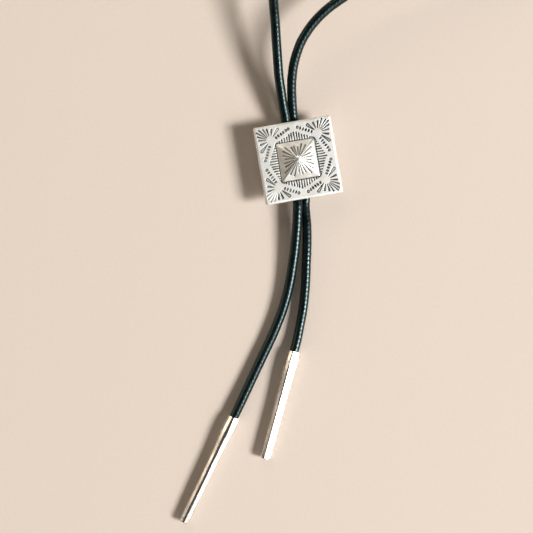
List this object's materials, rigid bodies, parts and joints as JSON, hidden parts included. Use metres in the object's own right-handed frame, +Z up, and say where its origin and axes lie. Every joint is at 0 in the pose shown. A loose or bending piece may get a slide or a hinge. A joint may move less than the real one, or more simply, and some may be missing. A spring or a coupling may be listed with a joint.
{
  "type": "bolo tie",
  "caption": "Neck cord of round leather drawn through a square stamped silver slide, its two ends finished with long silver tips, laid out flat.",
  "frame": {"origin": "on the surface that the tie lies on, in the middle of the clasp's flat underside, straight under the slide's middle", "axes": "+Z up from the surface through the slide's face, +Y from the slide towards the neck loop, in line with the slide's sides, +X to the right with the loop at the top"},
  "size_m": [0.256, 0.3804, 0.0191],
  "materials": {
    "silver": "satin sterling silver, hand-stamped and darkened in its recesses, tips hand-forged",
    "leather": "black, finely braided round cord with a soft sheen",
    "clasp_metal": "plain nickel silver"
  },
  "bodies": {
    "root": {"slide": "silver", "back_clasp": "clasp_metal", "neck_cord": "leather", "tail_cord_left": "leather", "tail_cord_right": "leather", "tip_left": "silver", "tip_right": "silver"}
  },
  "joints": []
}
